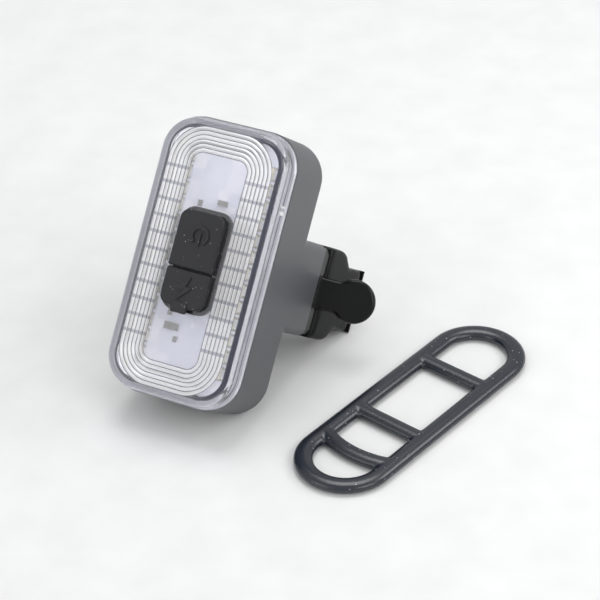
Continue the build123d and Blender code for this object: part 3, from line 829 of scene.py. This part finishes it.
@dataclass
class SiliconePads:
    """The power button and the port flap, with their raised marks. Millimetres."""

    place: LampPlace
    cover: Outline = field(default_factory=lambda: Outline.centred(12.2, 24.6, 2.6))
    thickness: float = 1.7
    face_round: float = 0.55
    foot_inset: float = 0.12
    foot_height: float = 0.15
    button_back: float = -6.45
    flap_back: float = -6.3
    groove_top: float = -2.4
    groove_bottom: float = -2.9
    square_radius: float = 0.25
    mark_height: float = 0.45
    mark_width: float = 0.85
    mark_sunk: float = 0.05
    ring_centre: Point2 = (0.7, 6.2)
    ring_radius: float = 2.15
    ring_half_gap_degrees: float = 38.0
    ring_draft: float = 0.1
    bar_top: float = 0.7
    bolt_centre: Point2 = (0.2, -7.4)
    bolt_draft: float = 0.04
    bolt: tuple[Point2, ...] = (
        (1.3, 3.1), (-2.2, -0.45), (-0.35, -0.45), (-1.3, -3.1), (2.2, 0.45), (0.35, 0.45),
    )
    tab_width: float = 4.2
    tab_height: float = 2.8
    tab_proud: float = 0.5
    tab_radius: float = 0.5
    tab_bevel: float = 0.25
    corner_steps: int = 10
    face_steps: int = 6
    ring_steps: int = 40
    tab_steps: int = 4

    @property
    def front(self) -> float:
        """The depth of both pads' faces."""
        return self.button_back - self.thickness

    def pad(self, outline: Outline, back: float) -> MeshMaker:
        """A pad with a bevelled foot and a rounded face.

        Args:
            outline: Its outline.
            back: The depth of its back.

        Returns:
            The mesh in the making, to which more may be added.
        """
        start, end = (0.0, self.front + self.face_round), (self.face_round, self.front)
        turn = arc(start, end, (end[0], start[1]), self.face_steps)
        rings = [(outline.inset(self.foot_inset), back), (outline, back - self.foot_height)]
        rings += [(outline.inset(inset), depth) for inset, depth in turn]
        maker = MeshMaker(self.place.to_frame)
        maker.skin([(ring.points(self.corner_steps), depth) for ring, depth in rings])
        return maker

    def power_mark(self, maker: MeshMaker) -> None:
        """Add a raised standby sign: a broken ring and a bar in its gap.

        Args:
            maker: The button's mesh.
        """
        (cx, cz), half = self.ring_centre, self.mark_width / 2
        near, far = self.ring_radius - half, self.ring_radius + half
        gap, steps = self.ring_half_gap_degrees, self.ring_steps
        angles = [math.radians(gap - 90 + (360 - 2 * gap) * step / steps) for step in range(steps + 1)]
        outer, inner = (on_circle((cx, cz), radius, angles) for radius in (far, near))
        self.raised_band(maker, outer, inner)
        left, right = ([(x, cz - far), (x, cz + self.bar_top)] for x in (cx - half, cx + half))
        self.raised_band(maker, left, right)

    def raised_band(self, maker: MeshMaker, one: Sequence[Point2], other: Sequence[Point2]) -> None:
        """Add a flat raised band between two lines of points, sunk a little into the pad.

        Args:
            maker: The pad's mesh.
            one: The points along one edge.
            other: The points along the other edge, in step with the first.
        """
        ring, across = [*one, *reversed(other)], [*other, *reversed(one)]
        top = [
            (x + (far_x - x) * self.ring_draft, z + (far_z - z) * self.ring_draft)
            for (x, z), (far_x, far_z) in zip(ring, across)
        ]
        low = maker.add_ring(ring, self.front + self.mark_sunk)
        high = maker.add_ring(top, self.front - self.mark_height)
        maker.bridge(low, high)
        # a and b follow each other along one edge, and c and d lie across from b and a.
        for a in range(len(one) - 1):
            b, c, d = a + 1, len(ring) - 2 - a, len(ring) - 1 - a
            maker.add_face((high[a], high[b], high[c], high[d]))
            maker.add_face((low[d], low[c], low[b], low[a]))

    def charge_mark(self, maker: MeshMaker) -> None:
        """Add a raised charging bolt, a plain zigzag flash.

        Args:
            maker: The flap's mesh.
        """
        shape = [(self.bolt_centre[0] + x, self.bolt_centre[1] + z) for x, z in self.bolt]
        for half in (shape[:3] + shape[5:], shape[2:]):
            maker.prism(half, self.front + self.mark_sunk, self.front - self.mark_height, self.bolt_draft)

    def pull_tab(self, maker: MeshMaker) -> None:
        """Add the tab that a nail lifts, at the flap's lower edge.

        Args:
            maker: The flap's mesh.
        """
        tab = Outline.centred(self.tab_width, self.tab_height, self.tab_radius, z=self.cover.bottom)
        back, face, bevel = self.front + self.tab_proud, self.front - self.tab_proud, self.tab_bevel
        rings = ((tab, back), (tab, face + bevel), (tab.inset(bevel), face))
        maker.skin([(ring.points(self.tab_steps), depth) for ring, depth in rings])

    def build(self, palette: Palette) -> list[bpy.types.Object]:
        """Make the button and the flap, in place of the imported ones.

        Args:
            palette: The finishes.

        Returns:
            The two pads.
        """
        left, right, wide, tight = self.cover.left, self.cover.right, self.cover.radii[0], self.square_radius
        above = Outline(left, right, self.groove_top, self.cover.top, (wide, wide, tight, tight))
        below = Outline(left, right, self.cover.bottom, self.groove_bottom, (tight, tight, wide, wide))
        button, flap = self.pad(above, self.button_back), self.pad(below, self.flap_back)
        self.power_mark(button)
        self.charge_mark(flap)
        self.pull_tab(flap)
        made = []
        for maker, name, node in ((button, "button_pad", "power_button"), (flap, "flap_pad", "port_flap")):
            piece = maker.make(name)
            palette.put_on(piece, "cover_silicone")
            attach(piece, node)
            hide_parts(node)
            made.append(piece)
        return made


def even_skin(piece: bpy.types.Object, voxel_mm: float, steps: int, share: float) -> None:
    """Give a piece one even skin whose edges and inner corners are rounded.

    Args:
        piece: The linked mesh object. Its mesh is replaced.
        voxel_mm: The size of the new faces.
        steps: How many times the skin is smoothed.
        share: How far each step moves a point towards its neighbours.
    """
    remesh = piece.modifiers.new("even_faces", "REMESH")
    remesh.mode, remesh.voxel_size, remesh.use_smooth_shade = "VOXEL", voxel_mm * MM, True
    smooth = piece.modifiers.new("round_edges", "SMOOTH")
    smooth.factor, smooth.iterations = share, steps
    seen = piece.evaluated_get(bpy.context.evaluated_depsgraph_get())
    mesh = bpy.data.meshes.new_from_object(seen)
    mesh.name = piece.name
    piece.modifiers.clear()
    piece.data = mesh
    mesh.shade_smooth()


@dataclass
class LadderStrap:
    """The loose rubber strap: a loop of round rod, with one bowed and two straight crossbars. Millimetres."""

    length: float = 81.0
    width: float = 26.4
    band: float = 5.0
    thickness: float = 3.0
    bar: float = 4.7
    near_loop: float = 17.9
    bar_spacing: float = 13.0
    far_loop: float = 23.1
    sag: float = 2.2
    turn_degrees: float = 76.5
    section_steps: int = 20
    loop_steps: int = 40
    bar_steps: int = 16
    voxel: float = 0.3
    smooth_steps: int = 6
    smooth_share: float = 0.5

    def rod(self, maker: MeshMaker, line: Sequence[Point2], width: float, closed: bool) -> None:
        """Sweep an oval section along a flat line.

        Args:
            maker: The mesh in the making.
            line: The line's points, lengthwise and across.
            width: The section's width. Its height is the strap's thickness.
            closed: True where the line ends at its start.
        """
        rings = []
        for i, point in enumerate(line):
            before = line[i - 1] if closed or i else point
            after = line[(i + 1) % len(line)] if closed or i + 1 < len(line) else point
            run = (Vector(after) - Vector(before)).normalized()
            ring = []
            for step in range(self.section_steps):
                angle = 2 * math.pi * step / self.section_steps
                aside, up = width / 2 * math.cos(angle), self.thickness / 2 * math.sin(angle)
                ring.append((point[0] - run.y * aside, point[1] + run.x * aside, up))
            rings.append(maker.add_points(ring))
        for one, other in zip(rings, rings[1:]):
            maker.bridge(one, other)
        if closed:
            maker.bridge(rings[-1], rings[0])
        else:
            maker.add_face(tuple(reversed(rings[0])))
            maker.add_face(rings[-1])

    def loop(self) -> list[Point2]:
        """The long loop's middle line.

        Returns:
            Its points, lengthwise and across.
        """
        radius, straight = (self.width - self.band) / 2, (self.length - self.width) / 2
        angles = [math.pi * step / self.loop_steps - math.pi / 2 for step in range(self.loop_steps + 1)]
        far = on_circle((straight, 0.0), radius, angles)
        return far + [(-x, -y) for x, y in far]

    def bars(self) -> list[list[Point2]]:
        """The middle lines of the curved bar and of the two straight ones.

        Returns:
            Each bar's points, lengthwise and across.
        """
        half_length, span = self.length / 2, (self.width - self.band) / 2
        curved = self.near_loop - half_length
        across = [span * (2 * step / self.bar_steps - 1) for step in range(self.bar_steps + 1)]
        bowed = [(curved - self.sag * (1 - (y / span) ** 2), y) for y in across]
        straight = (curved + self.bar_spacing, half_length - self.far_loop)
        return [bowed] + [[(x, y) for y in across] for x in straight]

    def build(self, palette: Palette) -> bpy.types.Object:
        """Make the strap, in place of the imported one.

        Args:
            palette: The finishes.

        Returns:
            The strap.
        """
        low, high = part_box("strap")
        turn = Matrix.Rotation(math.radians(self.turn_degrees), 4, "Z")
        place = Matrix.Translation((low + high) / 2) @ turn
        maker = MeshMaker(lambda x, y, z: tuple(place @ Vector((x * MM, y * MM, z * MM))))
        self.rod(maker, self.loop(), self.band, closed=True)
        for bar in self.bars():
            self.rod(maker, bar, self.bar, closed=False)
        strap = maker.make("ladder_strap")
        even_skin(strap, self.voxel, self.smooth_steps, self.smooth_share)
        palette.put_on(strap, "strap_rubber")
        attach(strap, "strap")
        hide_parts("strap")
        return strap


@dataclass
class SoftenedMoulding:
    """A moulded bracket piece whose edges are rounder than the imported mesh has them. Millimetres."""

    node: str
    name: str
    smooth_steps: int
    voxel: float = 0.32
    smooth_share: float = 0.7
    slot: str = "bracket_black"

    def build(self, palette: Palette) -> bpy.types.Object:
        """Make the rounded piece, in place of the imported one.

        Args:
            palette: The finishes.

        Returns:
            The rounded piece.
        """
        piece = bpy.data.objects.new(self.name, frame["nodes"][self.node].data.copy())
        bpy.context.scene.collection.objects.link(piece)
        even_skin(piece, self.voxel, self.smooth_steps, self.smooth_share)
        palette.put_on(piece, self.slot)
        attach(piece, "lamp")
        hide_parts(self.node)
        return piece


@dataclass
class EmitterBoard:
    """Solder pads under the emitters, on the face of the board. Millimetres."""

    place: LampPlace
    face: float = 1.4
    column: float = 11.2
    pitch: float = EMITTER_PITCH_MM
    rows: int = 13
    chip_length: float = 3.0
    pad_width: float = 2.0
    pad_height: float = 0.7
    pad_radius: float = 0.2
    pad_bevel: float = 0.1
    pad_proud: float = 0.08
    pad_sunk: float = 0.02
    corner_steps: int = 3

    def build(self, palette: Palette) -> bpy.types.Object:
        """Make the solder pads as one piece. They are as bright as the port's plate, and share its finish.

        Args:
            palette: The finishes.

        Returns:
            The pads.
        """
        maker = MeshMaker(self.place.to_frame)
        rows = [(row - (self.rows - 1) / 2) * self.pitch for row in range(self.rows)]
        ends = [z + end * self.chip_length / 2 for z in rows for end in (-1, 1)]
        low, top = self.face + self.pad_sunk, self.face - self.pad_proud
        for x in (-self.column, self.column):
            for z in ends:
                pad = Outline.centred(self.pad_width, self.pad_height, self.pad_radius, x, z)
                small = pad.inset(self.pad_bevel)
                maker.skin([(pad.points(self.corner_steps), low), (small.points(self.corner_steps), top)])
        pads = maker.make("emitter_solder")
        palette.put_on(pads, "port_steel")
        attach(pads, "lamp")
        return pads


@dataclass(frozen=True)
class Softbox:
    """A studio light: a square of even white light that looks at one point. Metres and watts."""

    name: str
    at: Point3
    aim: Point3
    side: float
    watts: float

    def build(self) -> bpy.types.Object:
        """Make the light.

        Returns:
            The light.
        """
        light = bpy.data.lights.new(self.name, "AREA")
        light.size = self.side
        light.energy = self.watts
        lamp = bpy.data.objects.new(self.name, light)
        lamp.location = self.at
        lamp.rotation_mode = "QUATERNION"
        lamp.rotation_quaternion = (Vector(self.aim) - Vector(self.at)).to_track_quat("-Z", "Y")
        bpy.context.scene.collection.objects.link(lamp)
        return lamp


@dataclass(frozen=True)
class StudioCamera:
    """The camera at the photograph's viewing angle, in degrees and metres."""

    azimuth: float = 27.16
    elevation: float = 35.09
    roll: float = -1.32
    distance: float = 0.600
    target: Point3 = (-0.00452, 0.01116, 0.01653)
    lens_mm: float = 136.8
    sensor_mm: float = 36.0
    nearest: float = 0.01
    farthest: float = 20.0

    def build(self) -> bpy.types.Object:
        """Make the camera and set it as the scene's own.

        Returns:
            The camera.
        """
        a, e, r = (math.radians(v) for v in (self.azimuth, self.elevation, self.roll))
        back = Vector((math.sin(a) * math.cos(e), -math.cos(a) * math.cos(e), math.sin(e)))
        level = Vector((math.cos(a), math.sin(a), 0.0))
        upright = back.cross(level)
        across = level * math.cos(r) + upright * math.sin(r)
        up = upright * math.cos(r) - level * math.sin(r)
        data = bpy.data.cameras.new("studio_camera")
        data.lens, data.sensor_width = self.lens_mm, self.sensor_mm
        data.clip_start, data.clip_end = self.nearest, self.farthest
        camera = bpy.data.objects.new("studio_camera", data)
        turn = Matrix((across, up, back)).transposed().to_4x4()
        camera.matrix_world = Matrix.Translation(Vector(self.target) + back * self.distance) @ turn
        bpy.context.scene.collection.objects.link(camera)
        bpy.context.scene.camera = camera
        return camera


@dataclass(frozen=True)
class Studio:
    """Pale floor, soft light and the camera."""

    floor_side: float = 6.0
    # Seamless background paper: dead matt and almost white.
    paper: Finish = Finish("studio_paper", "#F2F2F1", 0.9)
    world_colour: str = "#F4F5F7"
    world_strength: float = 0.67
    lights: tuple[Softbox, ...] = (
        # Behind and above: the soft shadow towards the camera.
        Softbox("key_softbox", (-0.1, 0.3, 0.95), (0.0, 0.0, 0.02), 0.5, 2.7),
        # In front, to the left: keeps the near sides from going black.
        Softbox("fill_softbox", (-0.5, -0.85, 0.6), (0.0, 0.0, 0.04), 0.7, 1.5),
        # To the right: lights the flanks of the boss and the bracket.
        Softbox("side_softbox", (0.6, -0.2, 0.5), (0.0, 0.01, 0.03), 0.4, 1.05),
        # Close behind, to the right: a faint rim on the lamp and its bracket.
        Softbox("rim_softbox", (0.22, 0.13, 0.22), (0.0, 0.03, 0.09), 0.12, 0.16),
    )

    def floor(self) -> bpy.types.Object:
        """Make the paper floor that the object lies on.

        Returns:
            The floor.
        """
        half = self.floor_side / 2
        mesh = bpy.data.meshes.new("paper_floor")
        corners = [(x, y, 0.0) for x, y in ((-half, -half), (half, -half), (half, half), (-half, half))]
        mesh.from_pydata(corners, [], [(0, 1, 2, 3)])
        floor = bpy.data.objects.new("paper_floor", mesh)
        bpy.context.scene.collection.objects.link(floor)
        mesh.materials.append(self.paper.make())
        return floor

    def world(self) -> None:
        """Surround the set with an even pale light."""
        world = bpy.data.worlds.new("studio_world")
        world.use_nodes = True
        background = world.node_tree.nodes["Background"]
        background.inputs["Color"].default_value = linear(self.world_colour)
        background.inputs["Strength"].default_value = self.world_strength
        bpy.context.scene.world = world

    def build(self) -> None:
        """Make the whole set."""
        StudioCamera().build()
        self.floor()
        self.world()
        for light in self.lights:
            light.build()
        view = bpy.context.scene.view_settings
        view.view_transform, view.look = "Standard", "None"


def main() -> None:
    """Build the set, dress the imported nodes, and make the pieces that stand for some of them."""
    logging.basicConfig(level=logging.INFO, format="%(message)s")
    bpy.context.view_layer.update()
    Studio().build()
    place = LampPlace.from_record(frame["record"])
    palette = Palette(place)
    palette.dress_nodes(frame["record"], frame["nodes"])
    pieces: list[bpy.types.Object] = [
        PrismLens(place).build(palette),
        *SiliconePads(place).build(palette),
        EmitterBoard(place).build(palette),
        LadderStrap().build(palette),
        SoftenedMoulding("saddle_block", "rounded_saddle", smooth_steps=45).build(palette),
        SoftenedMoulding("hook_plate", "rounded_hook", smooth_steps=9).build(palette),
    ]
    for piece in pieces:
        LOG.info("%s: %d faces", piece.name, len(piece.data.polygons))


if __name__ == "__main__":
    main()
